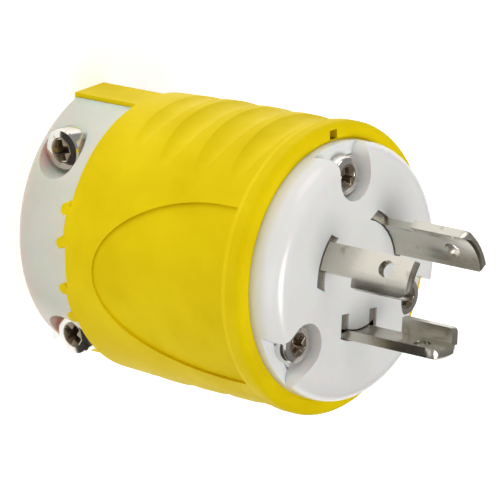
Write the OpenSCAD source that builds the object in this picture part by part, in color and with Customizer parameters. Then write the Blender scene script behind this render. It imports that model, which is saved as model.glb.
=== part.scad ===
// Locking power plug: three curved blades that push in and turn to lock, a round
// moulded housing with a cord clamp at its back, and the terminals inside it.
// The plug stands on its cord end. +Z runs up along its axis, out of the blades,
// and the origin is the centre of the mating face. Millimetres.

/* [Housing] */
// Diameter of the rim round the face
rim_d = 48.6; // [48.2:0.1:50]
// Height of the rim's raised band
rim_h = 2.6; // [1.5:0.1:4]
// Rounding of the rim's upper edge
rim_round = 0.9; // [0.4:0.1:1.2]
// How far the grip stands in from the rim
grip_inset = 0.3; // [0.1:0.05:0.5]
// How far the housing's tail, at its seam with the cord clamp, stands in from the grip
tail_inset = 0.5; // [0.3:0.05:0.8]
// Height over which the grip narrows to the seam
taper_h = 12; // [6:0.5:16]
// Height of the housing, rim to seam
housing_h = 37.8; // [36:0.1:44]
// Wall of the housing beside the face
housing_wall = 2.3; // [1.8:0.1:2.6]
// Thickness of the wall between the wiring chamber and the cord clamp
end_wall = 2.8; // [2:0.1:3.5]
// Diameter of the cord's way through that wall
passage_d = 22; // [18:0.5:23]
// Width of the small pry notch in the rim
pry_w = 1.8; // [1:0.1:3]
// Depth of the pry notch, down from the rim
pry_depth = 2.2; // [1:0.1:3]
// Direction of the pry notch, round the axis
pry_angle = 177; // [150:1:210]

/* [Grip] */
// Number of finger valleys on each side
valleys = 4; // [2:1:4]
// Distance from the rim to the first valley's middle
valley_first = 7; // [6:0.1:8]
// Distance from valley to valley
valley_pitch = 7.6; // [7:0.1:8.2]
// Depth of a valley at its deepest
valley_depth = 0.6; // [0.3:0.05:0.8]
// Width of a valley at its deepest
valley_w = 6; // [4:0.1:6.6]
// Half the angle over which a valley runs before it fades out
valley_reach = 42; // [30:1:50]
// Width of each thumb panel
panel_w = 29.8; // [20:0.5:32]
// Height of each thumb panel, down from the rim's band
panel_h = 28.2; // [20:0.1:32]
// Height of the panel's curved end
panel_end = 25.8; // [15:0.1:28]
// Depth of each thumb panel
panel_depth = 0.5; // [0.2:0.05:0.8]

/* [Face] */
// How far the face stands above the rim
face_rise = 5.3; // [4.5:0.1:6.5]
// Overall thickness of the face
face_t = 9; // [8:0.1:11]
// Rounding of the face's shoulder
shoulder_r = 3.2; // [2:0.1:3.8]
// Gap between the face and the housing
face_gap = 0.3; // [0.15:0.05:0.5]
// Width of the notch round each assembly screw
notch_w = 7.6; // [7:0.1:9]
// Depth from the face to the seat of each assembly screw
notch_depth = 4; // [3.4:0.1:5]
// Rounding of the notch's outer corners
notch_flare = 2; // [1:0.1:2.6]
// Width of the housing's keys, which show in the notches
key_w = 7; // [5:0.1:7]
// How far the keys stand in from the housing's wall
key_depth = 2.6; // [1.5:0.1:2.8]
// Depth of the keys' ends below the rim
key_drop = 1.4; // [0.5:0.1:3]

/* [Blades] */
// Outer diameter of the circle the blades lie on
blade_circle_d = 21.4; // [20.8:0.1:22]
// Thickness of a blade
blade_t = 1.5; // [1.2:0.05:1.7]
// Length of a blade above the face
blade_l = 17.9; // [16:0.1:20]
// Direction of the wide line blade, round the axis
line_angle = 117; // [115:1:121]
// Direction of the ground blade, round the axis
ground_angle = -8; // [-10:1:2]
// Width of the narrow line blade's shank, in degrees
narrow_shank = 26; // [22:1:30]
// Width of the wide line blade's shank, in degrees
wide_shank = 36; // [30:1:38]
// Width of the ground blade's shank, in degrees
ground_shank = 32; // [30:1:36]
// Width of the locking tab that stands out beside a line blade, in degrees
tab_angle = 9; // [6:1:11]
// Height of the locking tabs above the face
tab_start = 6.6; // [5:0.1:8]
// Width that the ground blade's hook adds, in degrees
hook_angle = 10; // [9:1:13]
// How far the hook turns in towards the axis
hook_depth = 2.9; // [2:0.1:3.5]
// Distance from the hook's end to the blade's tip
hook_setback = 1.1; // [0.6:0.1:2]
// Diameter of the detent hole in each blade
detent_d = 2.8; // [2:0.1:3.2]
// Distance from the tip to the detent hole's middle
detent_setback = 5.2; // [4.5:0.1:7]
// Rounding of a blade's leading corner
tip_round_r = 1.8; // [1:0.1:2.2]
// Bevel round a blade's tip
tip_bevel = 0.4; // [0.2:0.05:0.5]
// Room left round a blade in its slot
slot_gap = 0.2; // [0.1:0.05:0.3]
// Depth of a blade's wide root below the face
root_drop = 1.2; // [0.6:0.1:2]
// How far each root stands out beyond the shank and tab
slot_margin = 1; // [0.6:0.1:1.6]

/* [Terminals] */
// Depth of each flat terminal pad's upper end below the face's back
pad_drop = 3; // [2:0.1:4]
// Height of the terminal block
block_h = 19; // [17:0.1:20]
// Gap between the terminal block and the housing
block_gap = 0.9; // [0.4:0.1:1.2]
// Thickness of the terminal block's floor
block_floor = 2.8; // [2:0.1:3]
// Width of each terminal pocket
pocket_w = 11; // [10.6:0.1:12]
// Width of the blade's flat terminal pad
pad_w = 8; // [6:0.1:9]
// Diameter of a terminal screw
terminal_d = 3.8; // [3:0.1:4]
// Diameter of a terminal screw's head
terminal_head_d = 6.8; // [6:0.1:7.5]
// Height of a terminal screw's head
terminal_head_h = 2.2; // [1.6:0.1:2.6]
// Gap left for the wire between pad and pressure plate
wire_gap = 3.3; // [2:0.1:3.4]
// Thickness of a pressure plate
plate_t = 1.6; // [1.2:0.1:1.8]
// Height of a pressure plate
plate_h = 9.4; // [8:0.1:10]
// Diameter of each wire entry
wire_entry_d = 4.6; // [3.5:0.1:5]

/* [Assembly screws] */
// Distance from the face's edge in to each assembly screw
screw_inset = 5.1; // [5:0.05:5.4]
// Diameter of an assembly screw
screw_d = 3.5; // [3:0.1:3.6]
// Diameter of its head
screw_head_d = 6; // [5.6:0.1:6.6]
// Height of its head
screw_head_h = 2.7; // [2:0.1:3]
// Diameter of the boss that holds each threaded insert
boss_d = 8.4; // [7.6:0.1:9]
// Outer diameter of a threaded insert
insert_d = 5.6; // [5:0.1:6]
// Length of a threaded insert
insert_l = 7; // [5:0.1:8]

/* [Cord clamp] */
// Height of the cord clamp, seam to cord end
clamp_h = 14.3; // [13:0.1:15]
// Rounding of the clamp's lower edge
clamp_round = 0.8; // [0.4:0.1:2]
// How much wider the curve of the jaws is than the housing's tail
jaw_spread = 0.1; // [0:0.05:0.3]
// How far the curve of each closed jaw is drawn in across the axis
jaw_close = 3.9; // [3:0.1:4.2]
// Diameter of the cord the closed jaws hold
cord_d = 16; // [12:0.1:17]
// Length of bore that grips the cord
cord_grip_l = 6.4; // [5:0.1:8]
// Height of the flare at the cord's mouth
cord_flare = 1.5; // [1:0.1:2]
// Gap between the closed jaws
jaw_gap = 1.5; // [1:0.1:3]
// Gap at the seam between jaws and housing
seam_gap = 0.2; // [0.15:0.05:0.3]
// Width of the housing's straps between the jaws
strap_w = 7.2; // [5:0.1:7.4]
// How far the straps stand in from the housing's tail
strap_inset = 0.5; // [0.4:0.05:0.8]
// Thickness of those straps
strap_t = 3.8; // [3:0.1:4]
// Depth of the grip grooves in the jaws' bore
bite_depth = 0.9; // [0.4:0.1:1.2]
// Distance from each strap's inner side to the clamp screw beside it
clamp_screw_inset = 3; // [2.8:0.1:3.4]
// Height of the clamp screws above the cord end
clamp_screw_rise = 5.4; // [5:0.1:6]
// Diameter of a clamp screw
clamp_screw_d = 4; // [3.4:0.1:4.2]
// Diameter of its head
clamp_head_d = 7; // [6.4:0.1:7.4]
// Height of its head
clamp_head_h = 2.6; // [2:0.1:3]
// Distance from the axis to the seat under its head
clamp_seat = 10.3; // [9.6:0.1:10.6]
// Room left round its head
head_room = 0.7; // [0.4:0.1:0.9]
// Width across a clamp nut
nut_w = 6.2; // [6:0.1:6.6]
// Thickness of a clamp nut
nut_t = 2.6; // [2.4:0.1:3]
// Distance from the axis to the inner side of a clamp nut
nut_seat = 6.6; // [6.2:0.1:7]
// Length of screw left beyond the nut for the jaws to open
spare_thread = 2.4; // [1.6:0.1:2.6]

/* [Jaw rails] */
// Distance from the middle to each rail's middle
rail_x = 6.7; // [6.4:0.1:7.4]
// Distance between the two lips of a rail
rail_lips = 5.4; // [5.2:0.1:6]
// Thickness of a lip's stem
lip_stem = 0.9; // [0.7:0.05:1.1]
// Diameter of the round bead along a lip
lip_bead = 1.9; // [1.6:0.05:2]
// How far the lips stand down from the seam
lip_drop = 2.3; // [2.1:0.1:3]
// Depth of the web that fills a rail between its lips
rail_web = 0.9; // [0.5:0.1:1.1]
// Room left round a lip in its jaw
rail_gap = 0.2; // [0.15:0.05:0.25]

/* [Fits] */
// Room left round a screw in a plain hole
clear_fit = 0.2; // [0.1:0.05:0.3]
// Room left round a screw in its thread
thread_fit = 0.03; // [0.02:0.01:0.05]
// Room left round a piece that slides or is held in a pocket
slide_fit = 0.2; // [0.1:0.05:0.25]

/* [Hidden] */
$fn = 96;
eps = 0.01;
over = 5;
far = 80;

// Heights, counted down from the mating face
rim_z = -face_rise;
seam_z = rim_z - housing_h;
cord_end_z = seam_z - clamp_h;
chamber_z = seam_z + end_wall;
face_back_z = -face_t;
block_back_z = face_back_z - block_h;
pocket_z = block_back_z + block_floor;
seat_z = -notch_depth;

// Radii
rim_r = rim_d / 2;
grip_r = rim_r - grip_inset;
tail_r = grip_r - tail_inset;
bore_r = grip_r - housing_wall;
face_r = bore_r - face_gap;
block_r = bore_r - block_gap;
key_r = bore_r - key_depth;
screw_circle_r = face_r - screw_inset;
blade_out_r = blade_circle_d / 2;
blade_in_r = blade_out_r - blade_t;

// Directions round the axis: blades and assembly screws alternate
turn = 120;
blade_dir = [line_angle + turn, line_angle, ground_angle];
screw_dir = [60, 180, 300];
shank = [narrow_shank, wide_shank, ground_shank];

// Terminal pads, plates and screws
pad_top_z = face_back_z - pad_drop;
pad_in_r = blade_in_r - blade_t / 5;
plate_in_r = blade_out_r + wire_gap;
plate_out_r = plate_in_r + plate_t;
terminal_z = (pocket_z + pad_top_z) / 2;
terminal_tip_r = blade_in_r - 1.8;
wire_entry_r = blade_out_r + wire_gap / 2;

// Across each blade, seen from outside: half its shank, its tab's edge and its root's ends
half_w = [for (a = shank) blade_out_r * sin(a / 2)];
tab_y = [for (a = shank) blade_out_r * sin(a / 2 + tab_angle)];
hook_y = blade_out_r * sin(ground_shank / 2 + hook_angle);
hook_in_r = blade_in_r - hook_depth;
root_low = [for (w = half_w) w + slot_margin];
root_high = [tab_y[0] + slot_margin, tab_y[1] + slot_margin, hook_y];
heel_r = tip_round_r / 2;
detent_turn = [0, 0, hook_angle / 2];

// Cord clamp
clamp_z = cord_end_z + clamp_screw_rise;
jaw_top_z = seam_z - seam_gap;
jaw_r = tail_r + jaw_spread;
strap_x = tail_r - strap_inset - strap_t;
clamp_screw_x = strap_x - clamp_screw_inset;
clamp_tip_y = nut_seat + nut_t + spare_thread;
screw_tip_z = block_back_z - insert_l - 0.8;

// A flat outline drawn on a plane that faces out from the axis, and pushed out along it
module radial_extrude(in_r, out_r)
    translate([in_r, 0, 0]) rotate([90, 0, 90]) linear_extrude(out_r - in_r) children();

// A flat outline drawn on the plane seen from the front, and pushed back along Y
module front_extrude(from_y, to_y)
    translate([0, to_y, 0]) rotate([90, 0, 0]) linear_extrude(to_y - from_y) children();

// A pan head that sits on Z = 0 with its shank below, and a cross recess in its crown
module pan_screw(d, head_d, head_h, length) {
    crown = head_d * 0.62;
    difference() {
        union() {
            translate([0, 0, -length]) cylinder(d = d, h = length + eps);
            intersection() {
                cylinder(d = head_d, h = head_h);
                translate([0, 0, head_h - crown]) sphere(r = crown);
            }
        }
        for (a = [0, 90])
            rotate([0, 0, a])
                translate([-head_d * 0.3, -head_d * 0.085, head_h * 0.4])
                    cube([head_d * 0.6, head_d * 0.17, head_h]);
    }
}

// Housing: the moulded shell, with its rim, grip, keys, screw bosses, jaw rails and straps
module housing_outline() {
    difference() {
        polygon([
            [0, seam_z], [tail_r, seam_z], [grip_r, seam_z + taper_h],
            [grip_r, rim_z - rim_h - 1], [rim_r, rim_z - rim_h], [rim_r, rim_z], [0, rim_z]
        ]);
        translate([rim_r - rim_round, rim_z - rim_round])
            difference() {
                square(rim_round + 1);
                circle(rim_round);
            }
    }
}

// One valley is the inner side of a ring that dips deepest at the side and fades away
module valley(z) {
    deep_r = grip_r - valley_depth;
    rise = 1 - cos(valley_reach);
    shift = (grip_r * grip_r - deep_r * deep_r) / (2 * (deep_r - grip_r * (1 - rise)));
    ring_r = pow(valley_w / 2, 2) / (2 * valley_depth);
    translate([-shift, 0, z])
        rotate_extrude()
            translate([deep_r + shift + ring_r, 0]) circle(ring_r);
}

module thumb_panel() {
    top_z = rim_z - rim_h - 1;
    end_z = top_z - panel_h + panel_end;
    half = panel_w / 2;
    curve = [for (a = [180:5:360]) [half * cos(a), end_z + panel_end * sin(a)]];
    difference() {
        front_extrude(-grip_r - over, 0)
            polygon(concat([[half, top_z], [-half, top_z]], curve));
        translate([0, 0, seam_z - 1]) cylinder(r = grip_r - panel_depth, h = housing_h + 2);
    }
}

// One rail is a pair of beaded lips that run outwards along Y
module lip_outline(room) {
    for (side = [-1, 1])
        translate([rail_x + side * rail_lips / 2, 0]) {
            translate([0, seam_z - lip_drop + lip_bead / 2]) circle(d = lip_bead + 2 * room);
            translate([-lip_stem / 2 - room, seam_z - lip_drop + lip_bead / 2])
                square([lip_stem + 2 * room, lip_drop + 0.5]);
        }
    translate([rail_x - rail_lips / 2, seam_z - rail_web - room])
        square([rail_lips, rail_web + room + 0.5]);
}

module rails(room, inner_r, outer_r)
    for (x_side = [0, 1], y_side = [0, 1])
        mirror([x_side, 0, 0]) mirror([0, y_side, 0])
            intersection() {
                front_extrude(inner_r, outer_r + over) lip_outline(room);
                translate([0, 0, cord_end_z]) cylinder(r = outer_r, h = housing_h);
            }

module housing() {
    color("gold")
    difference() {
        union() {
            difference() {
                rotate_extrude() housing_outline();
                for (side = [0, 1])
                    mirror([side, 0, 0]) {
                        for (i = [0:valleys - 1])
                            valley(rim_z - valley_first - i * valley_pitch);
                    }
                for (side = [0, 1])
                    mirror([0, side, 0]) thumb_panel();
                translate([0, 0, chamber_z]) cylinder(r = bore_r, h = housing_h);
                translate([0, 0, seam_z - 1]) cylinder(d = passage_d, h = end_wall + 2);
            }
            for (a = screw_dir)
                rotate([0, 0, a]) {
                    translate([key_r, -key_w / 2, chamber_z - eps])
                        cube([key_depth + housing_wall / 2, key_w,
                            rim_z - key_drop - chamber_z]);
                    translate([screw_circle_r, 0, chamber_z - eps])
                        cylinder(d = boss_d, h = block_back_z - chamber_z + eps);
                }
            rails(0, passage_d / 2, tail_r - 0.3);
            for (side = [0, 1])
                mirror([side, 0, 0])
                    translate([strap_x, -strap_w / 2, cord_end_z])
                        cube([strap_t, strap_w, clamp_h + eps]);
        }
        for (a = screw_dir)
            rotate([0, 0, a])
                translate([screw_circle_r, 0, 0]) {
                    translate([0, 0, block_back_z - insert_l])
                        cylinder(d = insert_d + 2 * thread_fit, h = insert_l + 1);
                    translate([0, 0, screw_tip_z - 1])
                        cylinder(d = screw_d + 2 * clear_fit, h = insert_l + 2);
                }
        rotate([0, 0, pry_angle])
            translate([bore_r - 1, -pry_w / 2, rim_z - pry_depth])
                cube([(rim_r - bore_r) * 0.6 + 1, pry_w, over]);
    }
}

// Face: the white disc the blades come through, open round the heads of its three screws
module notch_outline(reach) {
    mouth = face_r * cos(asin((notch_w / 2 + notch_flare) / face_r));
    translate([screw_circle_r, 0]) circle(d = notch_w);
    translate([screw_circle_r, -notch_w / 2]) square([reach, notch_w]);
    for (side = [0, 1])
        mirror([0, side])
            difference() {
                translate([mouth - notch_flare, notch_w / 2 - eps])
                    square([reach, notch_flare + eps]);
                translate([mouth - notch_flare, notch_w / 2 + notch_flare])
                    circle(notch_flare);
            }
}

// Where a blade's root and its slot in the face lie, seen along the axis
module ring_outline(room)
    difference() {
        circle(blade_out_r + room);
        circle(blade_in_r - room);
    }

// The ground blade's root is turned in at both ends
module root_outline(i, room) {
    intersection() {
        ring_outline(room);
        translate([0, -root_low[i] - room])
            square([rim_r, root_low[i] + root_high[i] + 2 * room]);
    }
    if (i == 2)
        for (y = [-root_low[i], root_high[i] - blade_t])
            translate([hook_in_r - room, y - room])
                square([hook_depth + room, blade_t + 2 * room]);
}

module blade_slots(z_from, z_to)
    for (i = [0:2])
        rotate([0, 0, blade_dir[i]])
            translate([0, 0, z_from])
                linear_extrude(z_to - z_from) root_outline(i, slot_gap);

module face() {
    color("white")
    difference() {
        rotate_extrude()
            difference() {
                translate([0, face_back_z]) square([face_r, face_t]);
                translate([face_r - shoulder_r, -shoulder_r])
                    difference() {
                        square(shoulder_r + 1);
                        circle(shoulder_r);
                    }
            }
        blade_slots(face_back_z - 1, 1);
        for (a = screw_dir)
            rotate([0, 0, a]) {
                translate([0, 0, seat_z]) linear_extrude(notch_depth + 1) notch_outline(over * 2);
                translate([0, 0, face_back_z - 1])
                    linear_extrude(face_t)
                        difference() {
                            notch_outline(over * 2);
                            circle(key_r - slide_fit);
                        }
                translate([screw_circle_r, 0, face_back_z - 1])
                    cylinder(d = screw_d + 2 * clear_fit, h = face_t);
            }
    }
}

// Terminal block: the core that keeps the blades apart, with a pocket for each terminal
module terminal_block() {
    color("gainsboro")
    difference() {
        translate([0, 0, block_back_z]) cylinder(r = block_r, h = block_h);
        for (a = blade_dir)
            rotate([0, 0, a]) {
                translate([pad_in_r - slide_fit, -pocket_w / 2, pocket_z])
                    cube([block_r, pocket_w, block_h]);
                translate([wire_entry_r, 0, block_back_z - 1])
                    cylinder(d = wire_entry_d, h = block_floor + 2);
                translate([terminal_tip_r - 1, 0, terminal_z])
                    rotate([0, 90, 0])
                        cylinder(d = terminal_d + 2 * clear_fit, h = over);
            }
        blade_slots(pad_top_z - slide_fit, face_back_z + 1);
        for (a = screw_dir)
            rotate([0, 0, a]) {
                translate([screw_circle_r, 0, block_back_z - 1])
                    cylinder(d = screw_d + 2 * clear_fit, h = block_h + 2);
                translate([key_r - slide_fit, -key_w / 2 - slide_fit, block_back_z - 1])
                    cube([over, key_w + 2 * slide_fit, block_h + 2]);
            }
    }
}

// Blades: stamped brass on one circle, each with a wide root, a flat pad and a bevelled tip
module blade_ring()
    rotate_extrude()
        polygon([
            [blade_in_r, pad_top_z], [blade_out_r, pad_top_z],
            [blade_out_r, blade_l - tip_bevel], [blade_out_r - tip_bevel, blade_l],
            [blade_in_r + tip_bevel, blade_l], [blade_in_r, blade_l - tip_bevel]
        ]);

// A flat strip from low to high across the blade, its upper corners rounded
module strip(low, high, z_from, z_to, low_r, high_r)
    difference() {
        translate([low, z_from]) square([high - low, z_to - z_from]);
        translate([low, z_to]) corner_off(low_r);
        translate([high, z_to]) mirror([1, 0]) corner_off(high_r);
    }

module corner_off(r)
    difference() {
        translate([-1, -r]) square([r + 1, r + 1]);
        translate([r, -r]) circle(r);
    }

// The root's flat pad stands in a little, with the hole its terminal screw threads into
module terminal_pad()
    difference() {
        translate([pad_in_r, -pad_w / 2, pocket_z])
            cube([blade_t, pad_w, pad_top_z - pocket_z + 1]);
        translate([pad_in_r - 1, 0, terminal_z])
            rotate([0, 90, 0])
                cylinder(d = terminal_d + 2 * thread_fit, h = blade_t + 2);
    }

// A blade is its outline pushed through the ring, with its pad and its detent hole
module blade(i)
    rotate([0, 0, blade_dir[i]])
        difference() {
            union() {
                intersection() {
                    blade_ring();
                    radial_extrude(hook_in_r, rim_r) {
                        translate([-root_low[i], pad_top_z])
                            square([root_low[i] + root_high[i], -root_drop - pad_top_z]);
                        children(0);
                    }
                }
                terminal_pad();
                children([1:$children - 1]);
            }
            rotate([0, 0, detent_turn[i]])
                translate([0, 0, blade_l - detent_setback])
                    rotate([0, 90, 0]) cylinder(d = detent_d, h = rim_r);
        }

module line_blade(i)
    color("silver")
        blade(i) {
            union() {
                strip(-half_w[i], half_w[i], -root_drop - 1, blade_l, heel_r, heel_r);
                strip(0, tab_y[i], tab_start, blade_l, 0, tip_round_r);
            }
        }

module narrow_line_blade() line_blade(0);

module wide_line_blade() line_blade(1);

module ground_blade() {
    hook_top = blade_l - hook_setback;
    color("silver")
        blade(2) {
            union() {
                strip(-half_w[2], half_w[2], -root_drop - 1, blade_l, tip_round_r, heel_r);
                strip(0, hook_y, tab_start, hook_top, 0, heel_r);
            }
            for (y = [-root_low[2], root_high[2] - blade_t])
                translate([hook_in_r, y, pad_top_z])
                    cube([hook_depth, blade_t, -root_drop - pad_top_z]);
            front_extrude(hook_y - blade_t, hook_y)
                strip(hook_in_r, blade_in_r, tab_start, hook_top, heel_r, 0);
        }
}

// Terminal screws and the pressure plates they pull down on the wires
module terminal_screw(i)
    color("silver")
        rotate([0, 0, blade_dir[i]])
            translate([plate_out_r, 0, terminal_z])
                rotate([0, 90, 0])
                    pan_screw(terminal_d, terminal_head_d, terminal_head_h,
                        plate_out_r - terminal_tip_r);

module pressure_plate(i)
    color("goldenrod")
        rotate([0, 0, blade_dir[i]])
            difference() {
                translate([plate_in_r, -pocket_w / 2 + slide_fit, terminal_z - plate_h / 2])
                    cube([plate_t, pocket_w - 2 * slide_fit, plate_h]);
                translate([plate_in_r - 1, 0, terminal_z])
                    rotate([0, 90, 0])
                        cylinder(d = terminal_d + 2 * clear_fit, h = plate_t + 2);
            }

// Assembly screws, down through face and block into brass inserts in the housing
module assembly_screw(i)
    color("silver")
        rotate([0, 0, screw_dir[i]])
            translate([screw_circle_r, 0, seat_z])
                rotate([0, 0, 45])
                    pan_screw(screw_d, screw_head_d, screw_head_h, seat_z - screw_tip_z);

module threaded_insert(i)
    color("goldenrod")
        rotate([0, 0, screw_dir[i]])
            translate([screw_circle_r, 0, block_back_z - insert_l])
                difference() {
                    cylinder(d = insert_d, h = insert_l);
                    translate([0, 0, -1])
                        cylinder(d = screw_d + 2 * thread_fit, h = insert_l + 2);
                }

// Cord clamp: two jaws that slide apart on the housing's rails, drawn together by two screws
module jaw_outline() {
    difference() {
        translate([0, cord_end_z]) square([jaw_r, jaw_top_z - cord_end_z]);
        translate([jaw_r - clamp_round, cord_end_z + clamp_round])
            difference() {
                translate([0, -clamp_round - 1]) square(clamp_round + 1);
                circle(clamp_round);
            }
    }
}

module jaw_bore_outline() {
    cord_r = cord_d / 2;
    mouth_z = cord_end_z + cord_flare;
    throat_z = mouth_z + cord_grip_l;
    mouth_r = cord_r + cord_flare;
    polygon([
        [0, cord_end_z - 1], [mouth_r, cord_end_z - 1], [mouth_r, cord_end_z],
        [cord_r, mouth_z], [cord_r, throat_z], [passage_d / 2, seam_z], [0, seam_z]
    ]);
    for (i = [1, 2])
        translate([0, mouth_z + (throat_z - mouth_z) * i / 3 - 0.5])
            square([cord_r + bite_depth, 1]);
}

// The jaw's solid, drawn on the front side
module jaw() {
    difference() {
        translate([0, jaw_close, 0]) rotate_extrude() jaw_outline();
        rotate_extrude() jaw_bore_outline();
        translate([-far, -jaw_gap / 2, cord_end_z - 1]) cube([2 * far, far, clamp_h + 2]);
        for (side = [0, 1])
            mirror([side, 0, 0]) {
                translate([strap_x - slide_fit, -strap_w / 2 - slide_fit, cord_end_z - 1])
                    cube([far, far, clamp_h + 2]);
                translate([clamp_screw_x, 0, clamp_z])
                    rotate([90, 0, 0])
                        cylinder(d = clamp_screw_d + 2 * clear_fit, h = far);
            }
        rails(rail_gap, 0, far);
    }
}

module front_clamp_jaw()
    color("whitesmoke")
        difference() {
            jaw();
            for (x = [-clamp_screw_x, clamp_screw_x])
                translate([x, -clamp_seat, clamp_z])
                    rotate([90, 0, 0])
                        cylinder(d = clamp_head_d + 2 * head_room, h = far);
        }

module back_clamp_jaw()
    color("whitesmoke")
        difference() {
            mirror([0, 1, 0]) jaw();
            for (x = [-clamp_screw_x, clamp_screw_x])
                translate([x - nut_w / 2 - slide_fit, nut_seat, clamp_z - nut_w / 2 - slide_fit])
                    cube([nut_w + 2 * slide_fit, far, nut_w + 2 * slide_fit]);
        }

module clamp_screw(side)
    color("silver")
        translate([side * clamp_screw_x, -clamp_seat, clamp_z])
            rotate([90, 30, 0])
                pan_screw(clamp_screw_d, clamp_head_d, clamp_head_h, clamp_seat + clamp_tip_y);

module clamp_nut(side)
    color("goldenrod")
        translate([side * clamp_screw_x, nut_seat, clamp_z])
            difference() {
                translate([-nut_w / 2, 0, -nut_w / 2]) cube([nut_w, nut_t, nut_w]);
                translate([0, nut_t + over, 0])
                    rotate([90, 0, 0])
                        cylinder(d = clamp_screw_d + 2 * thread_fit, h = nut_t + 2 * over);
            }

housing();
face();
terminal_block();
narrow_line_blade();
wide_line_blade();
ground_blade();
for (i = [0:2]) {
    terminal_screw(i);
    pressure_plate(i);
    assembly_screw(i);
    threaded_insert(i);
}
front_clamp_jaw();
back_clamp_jaw();
clamp_screw(-1);  // clamp_screw_left
clamp_screw(1);  // clamp_screw_right
clamp_nut(-1);  // clamp_nut_left
clamp_nut(1);  // clamp_nut_right
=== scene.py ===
"""Locking power plug: looks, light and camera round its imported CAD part."""

import math

import bpy
from mathutils import Matrix, Vector


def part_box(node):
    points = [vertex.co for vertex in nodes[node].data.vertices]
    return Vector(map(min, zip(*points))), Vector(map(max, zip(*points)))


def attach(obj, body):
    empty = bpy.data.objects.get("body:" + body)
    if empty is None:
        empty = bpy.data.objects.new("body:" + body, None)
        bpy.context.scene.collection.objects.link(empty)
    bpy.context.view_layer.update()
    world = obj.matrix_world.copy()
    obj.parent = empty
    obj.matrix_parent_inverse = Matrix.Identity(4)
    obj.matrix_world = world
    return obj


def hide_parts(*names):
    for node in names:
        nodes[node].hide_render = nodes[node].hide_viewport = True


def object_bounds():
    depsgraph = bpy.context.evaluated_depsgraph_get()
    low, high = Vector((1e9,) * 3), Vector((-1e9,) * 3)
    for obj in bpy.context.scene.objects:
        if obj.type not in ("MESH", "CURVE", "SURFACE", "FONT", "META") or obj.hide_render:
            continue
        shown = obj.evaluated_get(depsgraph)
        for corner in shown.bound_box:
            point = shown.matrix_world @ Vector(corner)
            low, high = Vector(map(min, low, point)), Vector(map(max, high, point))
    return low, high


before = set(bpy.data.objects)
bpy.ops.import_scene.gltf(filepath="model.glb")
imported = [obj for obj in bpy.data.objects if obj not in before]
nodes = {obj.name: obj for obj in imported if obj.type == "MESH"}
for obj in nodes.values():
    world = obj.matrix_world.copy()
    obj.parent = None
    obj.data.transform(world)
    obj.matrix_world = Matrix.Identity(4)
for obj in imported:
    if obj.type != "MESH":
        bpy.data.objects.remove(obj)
cad_box = [list(corner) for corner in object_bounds()]
scene = bpy.context.scene


# Camera: a long lens above the face and to one side of the plug, rolled so that the
# plug, which stands on its cord end, lies level in the picture.
camera_place = (-0.20435, -0.47264, 0.38930)
look = Vector((0.30957, 0.71635, -0.62530)).normalized()
rough_up = Vector((-0.94974, 0.26508, -0.16651))
camera_data = bpy.data.cameras.new("camera")
camera_data.lens = 288
camera_data.sensor_width = 36
camera = bpy.data.objects.new("camera", camera_data)
scene.collection.objects.link(camera)
lens_side = look.cross(rough_up).normalized()
lens_up = lens_side.cross(look)
camera.matrix_world = (
    Matrix.Translation(camera_place)
    @ Matrix((lens_side, lens_up, -look)).transposed().to_4x4()
)
scene.camera = camera


# Studio: a pale floor under the cord end, a large soft light on the plug's bright side,
# a weak one by the camera and one over the face. The walls fade to dark on the far side.
scene.view_settings.view_transform = "Standard"
light_aim = Vector((0, 0, -0.02))
floor_z = cad_box[0][2]
floor_width = 6
floor_glow = 0.55
flag_width = 0.7
flag_place = (0.318, -0.368, floor_z + 0.001)


def area_light(name, place, width, power, colour):
    data = bpy.data.lights.new(name, "AREA")
    data.shape = "DISK"
    data.size = width
    data.energy = power
    data.color = colour
    lamp = bpy.data.objects.new(name, data)
    scene.collection.objects.link(lamp)
    aim = light_aim - Vector(place)
    lamp.matrix_world = (
        Matrix.Translation(place) @ aim.to_track_quat("-Z", "Y").to_matrix().to_4x4()
    )


def stage_paint(name, colour):
    """A dull paint or cloth for what stands round the plug, and its shader."""
    paint = bpy.data.materials.new(name)
    paint.use_nodes = True
    shader = paint.node_tree.nodes["Principled BSDF"]
    shader.inputs["Base Color"].default_value = (*colour, 1)
    shader.inputs["Roughness"].default_value = 0.9
    return paint, shader


area_light(
    "softbox", place=(-0.68, 0.02, 0.26), width=0.45, power=1.18,
    colour=(1.0, 0.99, 0.97),
)
area_light(
    "camera_fill", place=(0.02, -0.75, 0.28), width=0.50, power=0.46,
    colour=(1.0, 1.0, 1.0),
)
area_light(
    "face_light", place=(0.14, -0.06, 0.80), width=0.40, power=3.7,
    colour=(1.0, 1.0, 1.0),
)

bpy.ops.mesh.primitive_plane_add(size=floor_width, location=(0, 0, floor_z))
floor = bpy.context.object
floor.name = "floor"
floor_paint, floor_shader = stage_paint("floor_paint", (0.94, 0.94, 0.94))
floor_shader.inputs["Emission Color"].default_value = (1, 1, 1, 1)
floor_shader.inputs["Emission Strength"].default_value = floor_glow
floor.data.materials.append(floor_paint)

# A dark flag lies in front of the plug, as studios use to give metal its dark edges. It
# shows in reflections only.
bpy.ops.mesh.primitive_plane_add(size=flag_width, location=flag_place)
flag = bpy.context.object
flag.name = "dark_flag"
flag_cloth, flag_shader = stage_paint("flag_cloth", (0.03, 0.026, 0.022))
flag.data.materials.append(flag_cloth)
flag.visible_camera = False
flag.visible_diffuse = False
flag.visible_shadow = False

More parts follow.
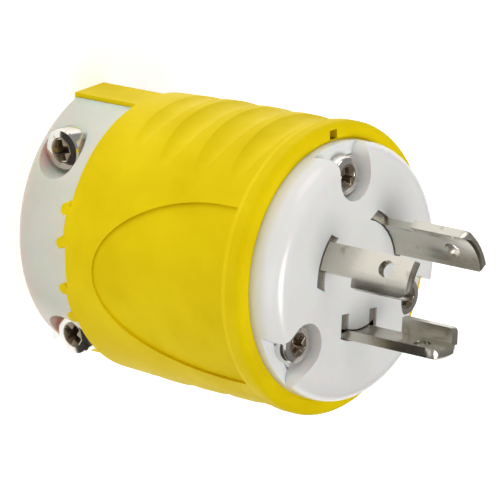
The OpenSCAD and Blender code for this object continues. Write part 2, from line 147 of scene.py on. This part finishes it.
# The walls' light goes from the left, white, to the right, warm and dark.
world = bpy.data.worlds.new("studio")
scene.world = world
world.use_nodes = True
air = world.node_tree
direction = air.nodes.new("ShaderNodeTexCoord")
across = air.nodes.new("ShaderNodeSeparateXYZ")
zero_to_one = air.nodes.new("ShaderNodeMath")
zero_to_one.operation = "MULTIPLY_ADD"
zero_to_one.inputs[1].default_value = 0.5
zero_to_one.inputs[2].default_value = 0.5
walls = air.nodes.new("ShaderNodeValToRGB")
left_wall, right_wall = walls.color_ramp.elements
left_wall.position = 0.0
left_wall.color = (1.0, 1.0, 1.0, 1)
right_wall.position = 0.9
right_wall.color = (0.16, 0.12, 0.09, 1)
middle_wall = walls.color_ramp.elements.new(0.62)
middle_wall.color = (0.92, 0.89, 0.85, 1)
air.links.new(direction.outputs["Generated"], across.inputs[0])
air.links.new(across.outputs["X"], zero_to_one.inputs[0])
air.links.new(zero_to_one.outputs[0], walls.inputs["Fac"])
air.links.new(walls.outputs["Color"], air.nodes["Background"].inputs["Color"])
air.nodes["Background"].inputs["Strength"].default_value = 0.30


# Housing: the grip shell, moulded in one piece from yellow nylon, with a satin skin. In
# its mouth it carries a thin crush rib, the seal, so that the face closes against it
# without a gap.
def new_group(name, inputs, outputs):
    """An empty shader node group with the sockets given, and its two end nodes."""
    group = bpy.data.node_groups.new(name, "ShaderNodeTree")
    for title, kind, value in inputs:
        socket = group.interface.new_socket(title, in_out="INPUT", socket_type=kind)
        if value is not None:
            socket.default_value = value
    for title, kind in outputs:
        group.interface.new_socket(title, in_out="OUTPUT", socket_type=kind)
    return group, group.nodes.new("NodeGroupInput"), group.nodes.new("NodeGroupOutput")


def add(tree, kind, **settings):
    node = tree.nodes.new(kind)
    for title, value in settings.items():
        setattr(node, title, value)
    return node


# Moulded skin: slow clouds from the melt, from 0 to 1, and a height made of fine
# spark-eroded grain over soft waves.
grain_share = 0.35
moulded_skin, skin_in, skin_out = new_group(
    "moulded_skin",
    [("Vector", "NodeSocketVector", None), ("Cloud Scale", "NodeSocketFloat", 90.0),
     ("Grain Scale", "NodeSocketFloat", 2400.0)],
    [("Clouds", "NodeSocketFloat"), ("Height", "NodeSocketFloat")],
)
clouds = add(moulded_skin, "ShaderNodeTexNoise")
clouds.inputs["Detail"].default_value = 4
grain = add(moulded_skin, "ShaderNodeTexNoise")
grain.inputs["Detail"].default_value = 2
spread = add(moulded_skin, "ShaderNodeMapRange")
spread.inputs["From Min"].default_value = 0.32
spread.inputs["From Max"].default_value = 0.68
height = add(moulded_skin, "ShaderNodeMath", operation="MULTIPLY_ADD")
height.inputs[1].default_value = grain_share
link = moulded_skin.links.new
link(skin_in.outputs["Vector"], clouds.inputs["Vector"])
link(skin_in.outputs["Vector"], grain.inputs["Vector"])
link(skin_in.outputs["Cloud Scale"], clouds.inputs["Scale"])
link(skin_in.outputs["Grain Scale"], grain.inputs["Scale"])
link(clouds.outputs["Fac"], spread.inputs["Value"])
link(spread.outputs["Result"], skin_out.inputs["Clouds"])
link(grain.outputs["Fac"], height.inputs[0])
link(spread.outputs["Result"], height.inputs[2])
link(height.outputs[0], skin_out.inputs["Height"])


def moulded(name, light, deep, gloss, cloud_scale, grain_scale, bump_mm, **constants):
    """A moulded plastic: two tones, two roughnesses, and constants on the shader."""
    material = bpy.data.materials.new(name)
    material.use_nodes = True
    tree = material.node_tree
    shader = tree.nodes["Principled BSDF"]
    place = add(tree, "ShaderNodeTexCoord")
    skin = add(tree, "ShaderNodeGroup", node_tree=moulded_skin)
    skin.inputs["Cloud Scale"].default_value = cloud_scale
    skin.inputs["Grain Scale"].default_value = grain_scale
    tones = add(tree, "ShaderNodeMix", data_type="RGBA")
    tones.inputs["A"].default_value = (*light, 1)
    tones.inputs["B"].default_value = (*deep, 1)
    sheen = add(tree, "ShaderNodeMapRange")
    sheen.inputs["To Min"].default_value = gloss[0]
    sheen.inputs["To Max"].default_value = gloss[1]
    bump = add(tree, "ShaderNodeBump")
    bump.inputs["Strength"].default_value = 0.5
    bump.inputs["Distance"].default_value = bump_mm / 1000
    link = tree.links.new
    link(place.outputs["Object"], skin.inputs["Vector"])
    link(skin.outputs["Clouds"], tones.inputs["Factor"])
    link(skin.outputs["Clouds"], sheen.inputs["Value"])
    link(skin.outputs["Height"], bump.inputs["Height"])
    link(tones.outputs["Result"], shader.inputs["Base Color"])
    link(sheen.outputs["Result"], shader.inputs["Roughness"])
    link(bump.outputs["Normal"], shader.inputs["Normal"])
    for title, value in constants.items():
        shader.inputs[title.replace("_", " ")].default_value = value
    return material


def dress(material, *names):
    for name in names:
        for place in nodes[name].material_slots:
            place.material = material


yellow_nylon = moulded(
    "yellow_nylon", light=(0.85, 0.65, 0.003), deep=(0.77, 0.57, 0.002),
    gloss=(0.46, 0.62), cloud_scale=110, grain_scale=2600, bump_mm=0.03,
    Specular_IOR_Level=0.07, Specular_Tint=(1.0, 0.8, 0.2, 1),
)
dress(yellow_nylon, "housing")


def deselect():
    if bpy.context.object and bpy.context.object.mode != "OBJECT":
        bpy.ops.object.mode_set(mode="OBJECT")
    bpy.ops.object.select_all(action="DESELECT")


def hold(piece):
    """Selects this piece alone."""
    deselect()
    piece.select_set(True)
    bpy.context.view_layer.objects.active = piece


def use_modifier(piece, kind, **settings):
    hold(piece)
    modifier = piece.modifiers.new(kind, kind)
    for title, value in settings.items():
        setattr(modifier, title, value)
    bpy.ops.object.modifier_apply(modifier=modifier.name)


def round_edges(piece, width, segments, sharp):
    """Rounds the edges that turn by more than sharp degrees."""
    use_modifier(
        piece, "BEVEL", width=width, segments=segments, limit_method="ANGLE",
        angle_limit=math.radians(sharp),
    )


def smooth(piece, sharp):
    """Shades the piece smooth, apart from edges of more than sharp degrees."""
    hold(piece)
    bpy.ops.object.shade_smooth_by_angle(angle=math.radians(sharp))


def cut_block(name, low, high, outer_r, inner_r, edge_round, material):
    """A block between two corners, kept inside one cylinder and outside another."""
    through = 0.08
    deselect()
    bpy.ops.mesh.primitive_cube_add(
        size=1, location=[(l + h) / 2 for l, h in zip(low, high)]
    )
    block = bpy.context.object
    block.name = name
    block.scale = [h - l for l, h in zip(low, high)]
    bpy.ops.object.transform_apply(location=True, scale=True)
    for radius, action in ((outer_r, "INTERSECT"), (inner_r, "DIFFERENCE")):
        if radius is None:
            continue
        deselect()
        bpy.ops.mesh.primitive_cylinder_add(
            vertices=192, radius=radius, depth=through, location=(0, 0, 0)
        )
        tool = bpy.context.object
        use_modifier(block, "BOOLEAN", operation=action, object=tool, solver="EXACT")
        bpy.data.objects.remove(tool)
    round_edges(block, edge_round, segments=3, sharp=50)
    smooth(block, sharp=40)
    block.data.materials.clear()
    block.data.materials.append(material)
    return block


seal_half = 0.022
seal_back_z, seal_front_z = -0.00572, -0.00538
seal = cut_block(
    "face_seal",
    (-seal_half, -seal_half, seal_back_z), (seal_half, seal_half, seal_front_z),
    outer_r=0.02166, inner_r=0.02137, edge_round=0.00004, material=yellow_nylon,
)
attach(seal, "shell")


# Face: the white disc, moulded in glossy nylon that lets a little light in. A shelf runs
# on outside each of its three screws, over the end of the housing's key, and is rounded
# down to its edge.
white_nylon = moulded(
    "white_nylon", light=(0.88, 0.88, 0.87), deep=(0.83, 0.83, 0.815),
    gloss=(0.16, 0.26), cloud_scale=55, grain_scale=1500, bump_mm=0.01,
    Subsurface_Weight=0.25, Subsurface_Scale=0.002,
)
dress(white_nylon, "face")


def place_copy(master, name, matrix):
    """A copy of the master with its own mesh, which the matrix puts in its place."""
    piece = bpy.data.objects.new(name, master.data.copy())
    scene.collection.objects.link(piece)
    piece.data.transform(matrix)
    return piece


def turned(degrees, axis="Z"):
    return Matrix.Rotation(math.radians(degrees), 4, axis)


shelf_low = (0.0189, -0.0056, -0.0064)
shelf_high = (0.0220, 0.0056, -0.0039)
shelf_directions = (60, 180, 300)
master = cut_block(
    "notch_shelf", shelf_low, shelf_high, outer_r=0.02135, inner_r=None,
    edge_round=0.0006, material=white_nylon,
)
for number, shelf_direction in enumerate(shelf_directions, start=1):
    shelf = place_copy(master, "notch_shelf_%d" % number, turned(shelf_direction))
    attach(shelf, "shell")
bpy.data.objects.remove(master)


# Terminal block: the core behind the face, which holds the blades. It is the same nylon,
# plainer and less polished, because nothing of it shows once the plug is closed.
block_nylon = moulded(
    "block_nylon", light=(0.80, 0.80, 0.78), deep=(0.73, 0.73, 0.70),
    gloss=(0.35, 0.48), cloud_scale=80, grain_scale=1800, bump_mm=0.02,
)
dress(block_nylon, "terminal_block")


# Blades: stamped from brass strip, with a satin nickel plate. The strip's rolling lines
# run along them, with a few faint stains, and the press leaves their edges a little
# rolled.
few_from, few_to = 0.60, 0.74
worked_metal, metal_in, metal_out = new_group(
    "worked_metal",
    [("Vector", "NodeSocketVector", None),
     ("Line Stretch", "NodeSocketVector", (1, 1, 0.03)),
     ("Line Scale", "NodeSocketFloat", 2500.0),
     ("Stain Scale", "NodeSocketFloat", 380.0)],
    [("Lines", "NodeSocketFloat"), ("Stains", "NodeSocketFloat"),
     ("Clouds", "NodeSocketFloat")],
)
stretch = add(worked_metal, "ShaderNodeVectorMath", operation="MULTIPLY")
lines = add(worked_metal, "ShaderNodeTexNoise")
lines.inputs["Detail"].default_value = 3
spots = add(worked_metal, "ShaderNodeTexNoise")
spots.inputs["Detail"].default_value = 5
few = add(worked_metal, "ShaderNodeMapRange")
few.inputs["From Min"].default_value = few_from
few.inputs["From Max"].default_value = few_to
slow = add(worked_metal, "ShaderNodeTexNoise")
slow.inputs["Scale"].default_value = 130
slow.inputs["Detail"].default_value = 3
link = worked_metal.links.new
link(metal_in.outputs["Vector"], stretch.inputs[0])
link(metal_in.outputs["Line Stretch"], stretch.inputs[1])
link(stretch.outputs[0], lines.inputs["Vector"])
link(metal_in.outputs["Line Scale"], lines.inputs["Scale"])
link(metal_in.outputs["Vector"], spots.inputs["Vector"])
link(metal_in.outputs["Stain Scale"], spots.inputs["Scale"])
link(metal_in.outputs["Vector"], slow.inputs["Vector"])
link(spots.outputs["Fac"], few.inputs["Value"])
link(lines.outputs["Fac"], metal_out.inputs["Lines"])
link(few.outputs["Result"], metal_out.inputs["Stains"])
link(slow.outputs["Fac"], metal_out.inputs["Clouds"])


def metal(name, bright, stain, gloss, line_stretch, line_scale, stain_scale, bump_mm):
    """A metal: its colour and the colour of its stains, and two roughnesses."""
    material = bpy.data.materials.new(name)
    material.use_nodes = True
    tree = material.node_tree
    shader = tree.nodes["Principled BSDF"]
    shader.inputs["Metallic"].default_value = 1.0
    place = add(tree, "ShaderNodeTexCoord")
    work = add(tree, "ShaderNodeGroup", node_tree=worked_metal)
    work.inputs["Line Stretch"].default_value = line_stretch
    work.inputs["Line Scale"].default_value = line_scale
    work.inputs["Stain Scale"].default_value = stain_scale
    tones = add(tree, "ShaderNodeMix", data_type="RGBA")
    tones.inputs["A"].default_value = (*bright, 1)
    tones.inputs["B"].default_value = (*stain, 1)
    sheen = add(tree, "ShaderNodeMapRange")
    sheen.inputs["From Min"].default_value = 0.3
    sheen.inputs["From Max"].default_value = 0.7
    sheen.inputs["To Min"].default_value = gloss[0]
    sheen.inputs["To Max"].default_value = gloss[1]
    bump = add(tree, "ShaderNodeBump")
    bump.inputs["Strength"].default_value = 0.5
    bump.inputs["Distance"].default_value = bump_mm / 1000
    link = tree.links.new
    link(place.outputs["Object"], work.inputs["Vector"])
    link(work.outputs["Stains"], tones.inputs["Factor"])
    link(work.outputs["Clouds"], sheen.inputs["Value"])
    link(work.outputs["Lines"], bump.inputs["Height"])
    link(tones.outputs["Result"], shader.inputs["Base Color"])
    link(sheen.outputs["Result"], shader.inputs["Roughness"])
    link(bump.outputs["Normal"], shader.inputs["Normal"])
    return material


plated_brass = metal(
    "plated_brass", bright=(0.56, 0.54, 0.475), stain=(0.40, 0.36, 0.30),
    gloss=(0.19, 0.32), line_stretch=(1, 1, 0.03), line_scale=2600, stain_scale=420,
    bump_mm=0.012,
)
dress(plated_brass, "narrow_line_blade", "wide_line_blade", "ground_blade")

# Each blade is its node's own shape with its edges broken.
rolled_edge = 0.00014
merge_gap = 0.000002
for node, name in (
    ("narrow_line_blade", "narrow_blade_rolled"),
    ("wide_line_blade", "wide_blade_rolled"),
    ("ground_blade", "ground_blade_rolled"),
):
    blade = bpy.data.objects.new(name, nodes[node].data.copy())
    scene.collection.objects.link(blade)
    hold(blade)
    bpy.ops.object.mode_set(mode="EDIT")
    bpy.ops.mesh.select_all(action="SELECT")
    bpy.ops.mesh.customdata_custom_splitnormals_clear()
    bpy.ops.mesh.remove_doubles(threshold=merge_gap)
    bpy.ops.mesh.dissolve_limited(angle_limit=math.radians(0.5))
    bpy.ops.object.mode_set(mode="OBJECT")
    round_edges(blade, rolled_edge, segments=2, sharp=40)
    smooth(blade, sharp=35)
    use_modifier(blade, "WEIGHTED_NORMAL", weight=100, keep_sharp=True)
    blade.data.materials.clear()
    blade.data.materials.append(plated_brass)
    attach(blade, "shell")
    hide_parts(node)

# Root caps: the tops of the blades' wide roots, which all but fill their slots in the
# face, a little lower than the face. The ground blade's root has two legs turned in.
root_back_z, root_top_z = -0.00125, -0.00035
root_in_x, root_out_x = 0.004, 0.012
root_in_r, root_out_r = 0.00924, 0.01066
root_edge = 0.0001
ground_direction = -8
leg_in_x, leg_out_x = 0.00635, 0.00935
leg_t = 0.00144
for name, root_direction, low_y, high_y in (
    ("narrow_root", 237, -0.00340, 0.00600),
    ("wide_root", 117, -0.00430, 0.00680),
    ("ground_root", ground_direction, -0.00390, 0.00465),
):
    cap = cut_block(
        name, (root_in_x, low_y, root_back_z), (root_out_x, high_y, root_top_z),
        outer_r=root_out_r, inner_r=root_in_r, edge_round=root_edge,
        material=plated_brass,
    )
    cap.data.transform(turned(root_direction))
    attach(cap, "shell")
for name, low_y in (("ground_leg_low", -0.00390), ("ground_leg_high", 0.00321)):
    leg = cut_block(
        name, (leg_in_x, low_y, root_back_z), (leg_out_x, low_y + leg_t, root_top_z),
        outer_r=root_out_r, inner_r=None, edge_round=root_edge,
        material=plated_brass,
    )
    leg.data.transform(turned(ground_direction))
    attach(leg, "shell")


# Terminals: plain brass screws, wire plates and threaded inserts, a little tarnished;
# the ground terminal's screw is dyed green.
terminal_brass = metal(
    "terminal_brass", bright=(0.76, 0.57, 0.26), stain=(0.48, 0.30, 0.12),
    gloss=(0.22, 0.36), line_stretch=(1, 1, 0.1), line_scale=1600, stain_scale=300,
    bump_mm=0.008,
)
dress(
    terminal_brass,
    "terminal_screw_1", "terminal_screw_2",
    "pressure_plate_1", "pressure_plate_2", "pressure_plate_3",
    "threaded_insert_1", "threaded_insert_2", "threaded_insert_3",
)
ground_green = metal(
    "ground_green", bright=(0.05, 0.30, 0.10), stain=(0.03, 0.14, 0.05),
    gloss=(0.24, 0.34), line_stretch=(1, 1, 1), line_scale=1500, stain_scale=360,
    bump_mm=0.006,
)
dress(ground_green, "terminal_screw_3")


# Assembly and clamp screws, with the clamp's nuts: bright nickel plated steel. Each screw
# is cold headed from one wire, with a pan head of steep side and low crown and a tapered
# cross recess. It is made once, seat on Z = 0, and copied to its places.
bright_steel = metal(
    "bright_steel", bright=(0.78, 0.76, 0.73), stain=(0.50, 0.44, 0.36),
    gloss=(0.08, 0.18), line_stretch=(1, 1, 1), line_scale=1800, stain_scale=700,
    bump_mm=0.004,
)
dress(bright_steel, "clamp_nut_left", "clamp_nut_right")
# The inside of each screw's cross recess is painted a dark warm brown: painted shade down
# in the recess, with faint stains over it.
recess_painted_shade = metal(
    "recess_painted_shade", bright=(0.30, 0.245, 0.185), stain=(0.16, 0.12, 0.08),
    gloss=(0.22, 0.36), line_stretch=(1, 1, 1), line_scale=1500, stain_scale=900,
    bump_mm=0.006,
)


def pick_faces(piece, wanted):
    """Selects the faces that wanted(face) names, with the piece in edit mode."""
    bpy.ops.object.mode_set(mode="OBJECT")
    for vertex in piece.data.vertices:
        vertex.select = False
    for edge in piece.data.edges:
        edge.select = False
    for face in piece.data.polygons:
        face.select = wanted(face)
    bpy.ops.object.mode_set(mode="EDIT")
    bpy.ops.mesh.select_mode(type="FACE")


def top_of(piece):
    top_z = max(v.co.z for v in piece.data.vertices)
    return lambda face: face.normal.z > 0.9 and abs(face.center.z - top_z) < 1e-5


def bottom_of(piece):
    bottom_z = min(v.co.z for v in piece.data.vertices)
    return lambda face: face.normal.z < -0.9 and abs(face.center.z - bottom_z) < 1e-5


def pan_screw(name, shank_r, head_r, edge_h, head_h, length):
    crown_h = head_h - edge_h
    crown_steps = ((0.42, 0.93), (0.30, 0.78), (0.18, 0.52), (0.10, 0.20))
    recess_size = (head_r * 1.42, head_r * 0.42, head_h * 1.3)
    recess_taper = (0.45, 0.55, 1)
    recess_reach = 0.76
    under_crown = 0.00016
    broken_edge = 0.00012

    deselect()
    bpy.ops.mesh.primitive_cylinder_add(
        vertices=64, radius=head_r, depth=edge_h, location=(0, 0, edge_h / 2)
    )
    screw = bpy.context.object
    screw.name = name
    bpy.ops.object.transform_apply(location=True)
    width = 1.0
    for rise, next_width in crown_steps:
        pick_faces(screw, top_of(screw))
        bpy.ops.mesh.extrude_region_move(
            TRANSFORM_OT_translate={"value": (0, 0, crown_h * rise)}
        )
        bpy.ops.transform.resize(value=(next_width / width, next_width / width, 1))
        width = next_width
    pick_faces(screw, bottom_of(screw))
    bpy.ops.mesh.inset(thickness=head_r - shank_r)
    bpy.ops.mesh.extrude_region_move(TRANSFORM_OT_translate={"value": (0, 0, -length)})

    deselect()
    bpy.ops.mesh.primitive_cube_add(size=1, location=(0, 0, head_h - 0.1 * head_h))
    cutter = bpy.context.object
    cutter.scale = recess_size
    bpy.ops.object.transform_apply(location=False, scale=True)
    pick_faces(cutter, bottom_of(cutter))
    bpy.ops.transform.resize(value=recess_taper)
    bpy.ops.object.mode_set(mode="OBJECT")
    bpy.ops.object.transform_apply(location=True)
    for degrees in (0, 90):
        cutter.data.transform(turned(degrees))
        use_modifier(
            screw, "BOOLEAN", operation="DIFFERENCE", object=cutter, solver="EXACT"
        )
    bpy.data.objects.remove(cutter)

    round_edges(screw, broken_edge, segments=2, sharp=50)
    smooth(screw, sharp=35)
    screw.data.materials.clear()
    screw.data.materials.append(bright_steel)
    screw.data.materials.append(recess_painted_shade)
    # Faces down in the cross recess, under the crown, take the second material, the
    # painted shade.
    for face in screw.data.polygons:
        out = math.hypot(face.center.x, face.center.y) / head_r
        crown_z = head_h - crown_h * out * out
        if out < recess_reach and 0 < face.center.z < crown_z - under_crown:
            face.material_index = 1
    return screw


# The assembly screws go down through the face into the housing's inserts.
face_head_h = 0.0027
first_turn, turn_step = 20, 37
screw_low, screw_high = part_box("assembly_screw_1")
seat_z = screw_high[2] - face_head_h
master = pan_screw(
    "face_screw", shank_r=0.00175, head_r=0.00325, edge_h=0.0019, head_h=face_head_h,
    length=seat_z - screw_low[2],
)
for number in (1, 2, 3):
    low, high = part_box("assembly_screw_%d" % number)
    seat = Matrix.Translation(((low[0] + high[0]) / 2, (low[1] + high[1]) / 2, seat_z))
    screw = place_copy(
        master, "face_screw_%d" % number, seat @ turned(first_turn + turn_step * number)
    )
    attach(screw, "shell")
    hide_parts("assembly_screw_%d" % number)
bpy.data.objects.remove(master)

# The clamp screws go in along +Y, from the front jaw to the nuts in the back jaw.
jaw_seat_depth = 0.0026
screw_low, screw_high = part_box("clamp_screw_left")
seat_y = screw_low[1] + jaw_seat_depth
master = pan_screw(
    "jaw_screw", shank_r=0.0020, head_r=0.00355, edge_h=0.0027, head_h=0.0035,
    length=screw_high[1] - screw_low[1] - jaw_seat_depth,
)
for side, degrees in (("left", 12), ("right", 55)):
    low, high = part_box("clamp_screw_" + side)
    seat = Matrix.Translation(((low[0] + high[0]) / 2, seat_y, (low[2] + high[2]) / 2))
    screw = place_copy(
        master, "jaw_screw_" + side, seat @ turned(90, "X") @ turned(degrees)
    )
    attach(screw, "front_jaw")
    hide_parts("clamp_screw_" + side)
bpy.data.objects.remove(master)


# Cord clamp jaws: uncoloured nylon, milky and a little clear, so that light spreads
# inside its walls.
natural_nylon = moulded(
    "natural_nylon", light=(0.76, 0.77, 0.73), deep=(0.68, 0.70, 0.63),
    gloss=(0.28, 0.40), cloud_scale=60, grain_scale=1600, bump_mm=0.02,
    Subsurface_Weight=0.7, Subsurface_Scale=0.004,
)
dress(natural_nylon, "front_clamp_jaw", "back_clamp_jaw")
